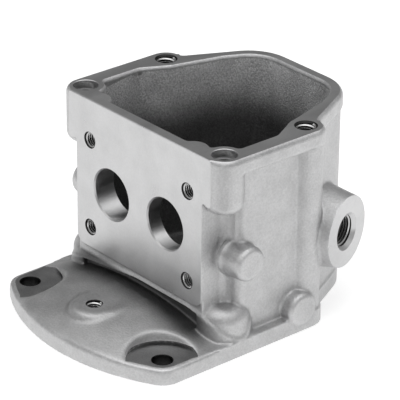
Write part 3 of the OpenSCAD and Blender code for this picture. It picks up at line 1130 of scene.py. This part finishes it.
@dataclass
class Studio:
    """The floor, the lights and the camera."""

    azimuth: float = 49.192
    elevation: float = 26.216
    roll: float = 0.6006
    distance: float = 1368.85
    aim: tuple[float, float] = (-31.632, -59.672)
    focal_px: float = 2693.4
    frame_px: int = 400
    sky: float = 1.9
    horizon: float = 0.20
    shade_at: tuple[float, float, float] = (-0.68, 0.59, 0.44)
    shade_reach: tuple[float, float] = (0.50, 0.90)
    shade_to: float = 0.5
    # A painted shadow on the floor for all rays but camera rays: its centre and reach in
    # millimetres, and the tone at its middle
    dim_at: tuple[float, float, float] = (190.0, -120.0, 0.0)
    dim_reach: tuple[float, float] = (80.0, 170.0)
    dim_to: float = 0.58
    lift: float = 0.52
    glow: float = 0.37
    sensor: float = 36.0
    clip: tuple[float, float] = (0.05, 50.0)
    floor_half: float = 6.0
    floor_grid: int = 8
    white: float = 0.8
    matt: float = 0.9
    # Height at which the horizon ends, and the sky's brightness at heights above it
    horizon_end: float = 0.57
    stops: tuple[tuple[float, float], ...] = ((0.72, 0.58), (0.86, 0.65))

    def camera(self) -> bpy.types.Object:
        """Places the camera where the photograph was taken from.

        Returns:
            The scene's camera.
        """
        az, el = math.radians(self.azimuth), math.radians(self.elevation)
        back = Vector((math.sin(az) * math.cos(el), -math.cos(az) * math.cos(el),
                       math.sin(el)))
        level = Vector((math.cos(az), math.sin(az), 0.0))
        rise = back.cross(level)
        turn = math.radians(self.roll)
        right = math.cos(turn) * level + math.sin(turn) * rise
        up = -math.sin(turn) * level + math.cos(turn) * rise
        eye = back * self.distance - right * self.aim[0] - up * self.aim[1]
        lens = bpy.data.cameras.new("camera")
        lens.sensor_width = self.sensor
        lens.lens = self.focal_px * self.sensor / self.frame_px
        lens.clip_start, lens.clip_end = self.clip
        camera = bpy.data.objects.new("camera", lens)
        camera.matrix_world = Matrix.Translation(eye * MM) @ Matrix(
            (right, up, back)).transposed().to_4x4()
        bpy.context.scene.collection.objects.link(camera)
        bpy.context.scene.camera = camera
        return camera

    def floor(self) -> bpy.types.Object:
        """Lays the floor, white to the camera; for all other rays it has a painted shadow to
        the front right.

        Returns:
            The floor.
        """
        bm = bmesh.new()
        bmesh.ops.create_grid(
            bm, x_segments=self.floor_grid, y_segments=self.floor_grid, size=self.floor_half
        )
        floor = new_object("floor", mesh_of(bm, "floor"))
        stuff = bpy.data.materials.new("white_floor")
        stuff.use_nodes = True
        tree = stuff.node_tree
        shader = tree.nodes["Principled BSDF"]
        shader.inputs["Roughness"].default_value = self.matt
        shader.inputs["Specular IOR Level"].default_value = 0.0
        # Painted shadow: round dim_at, the floor's colour and glow fall to dim_to for all
        # rays but camera rays
        where = tree.nodes.new("ShaderNodeTexCoord")
        reach = tree.nodes.new("ShaderNodeVectorMath")
        reach.operation = "DISTANCE"
        reach.inputs[1].default_value = mm(*self.dim_at)
        tree.links.new(where.outputs["Object"], reach.inputs[0])
        dim = tree.nodes.new("ShaderNodeMapRange")
        dim.interpolation_type = "SMOOTHSTEP"
        dim.inputs["From Min"].default_value = self.dim_reach[0] * MM
        dim.inputs["From Max"].default_value = self.dim_reach[1] * MM
        dim.inputs["To Min"].default_value = self.dim_to
        dim.inputs["To Max"].default_value = 1.0
        tree.links.new(reach.outputs["Value"], dim.inputs["Value"])
        rays = tree.nodes.new("ShaderNodeLightPath")
        glow = tree.nodes.new("ShaderNodeMath")
        glow.operation = "MAXIMUM"
        tree.links.new(rays.outputs["Is Camera Ray"], glow.inputs[0])
        tree.links.new(dim.outputs["Result"], glow.inputs[1])
        paint = tree.nodes.new("ShaderNodeMix")
        paint.data_type = "RGBA"
        paint.inputs[MIX_A].default_value = BLACK
        paint.inputs[MIX_B].default_value = (*[self.white] * 3, 1.0)
        tree.links.new(glow.outputs[0], paint.inputs[0])
        tree.links.new(paint.outputs[MIX_COLOR], shader.inputs["Base Color"])
        shader.inputs["Emission Color"].default_value = (1.0, 1.0, 1.0, 1.0)
        shine = tree.nodes.new("ShaderNodeMath")
        shine.operation = "MULTIPLY"
        shine.inputs[1].default_value = self.glow
        tree.links.new(dim.outputs["Result"], shine.inputs[0])
        power = tree.nodes.new("ShaderNodeMix")
        power.inputs["B"].default_value = self.lift
        tree.links.new(rays.outputs["Is Camera Ray"], power.inputs["Factor"])
        tree.links.new(shine.outputs[0], power.inputs["A"])
        tree.links.new(power.outputs["Result"], shader.inputs["Emission Strength"])
        floor.data.materials.append(stuff)
        return floor

    def world(self) -> None:
        """Sets a pale sky, darker towards the horizon, seen as white."""
        world = bpy.data.worlds.new("studio")
        bpy.context.scene.world = world
        world.use_nodes = True
        tree = world.node_tree
        light = tree.nodes["Background"]
        where = tree.nodes.new("ShaderNodeTexCoord")
        parts = tree.nodes.new("ShaderNodeSeparateXYZ")
        ramp = tree.nodes.new("ShaderNodeValToRGB")
        tree.links.new(where.outputs["Generated"], parts.inputs[0])
        tree.links.new(parts.outputs["Z"], ramp.inputs["Fac"])
        tree.links.new(ramp.outputs["Color"], light.inputs["Color"])
        stops = ramp.color_ramp.elements
        stops[0].position, stops[0].color = 0.0, (*[self.horizon] * 3, 1)
        stops[1].position, stops[1].color = 1.0, (1.0, 1.0, 1.0, 1)
        for position, value in ((self.horizon_end, self.horizon), *self.stops):
            stop = stops.new(position)
            stop.color = (value, value, value, 1.0)
        side = tree.nodes.new("ShaderNodeVectorMath")
        side.operation = "DOT_PRODUCT"
        side.inputs[1].default_value = Vector(self.shade_at).normalized()
        tree.links.new(where.outputs["Generated"], side.inputs[0])
        shade = tree.nodes.new("ShaderNodeMapRange")
        shade.interpolation_type = "SMOOTHSTEP"
        shade.inputs["From Min"].default_value = self.shade_reach[0]
        shade.inputs["From Max"].default_value = self.shade_reach[1]
        shade.inputs["To Min"].default_value = self.sky
        shade.inputs["To Max"].default_value = self.sky * self.shade_to
        tree.links.new(side.outputs["Value"], shade.inputs["Value"])
        tree.links.new(shade.outputs["Result"], light.inputs["Strength"])
        white = tree.nodes.new("ShaderNodeBackground")
        white.inputs["Color"].default_value = (1, 1, 1, 1)
        rays = tree.nodes.new("ShaderNodeLightPath")
        pick = tree.nodes.new("ShaderNodeMixShader")
        tree.links.new(rays.outputs["Is Camera Ray"], pick.inputs["Fac"])
        tree.links.new(light.outputs[0], pick.inputs[1])
        tree.links.new(white.outputs[0], pick.inputs[2])
        tree.links.new(pick.outputs[0], tree.nodes["World Output"].inputs["Surface"])

    def build(self) -> None:
        """Sets up the whole studio."""
        self.camera()
        self.floor()
        self.world()
        bpy.context.scene.view_settings.view_transform = "Standard"


def main() -> None:
    """Builds the housing and its studio, and reports each piece."""
    logging.basicConfig(level=logging.INFO, format="%(name)s: %(message)s")
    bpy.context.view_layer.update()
    Studio().build()
    housing = Housing(Machining())
    body = housing.build()
    log.info("%s: %d faces", body.name, len(body.data.polygons))
    threads = housing.threads()
    log.info("%s: %d faces", threads.name, len(threads.data.polygons))


if __name__ == "__main__":
    main()
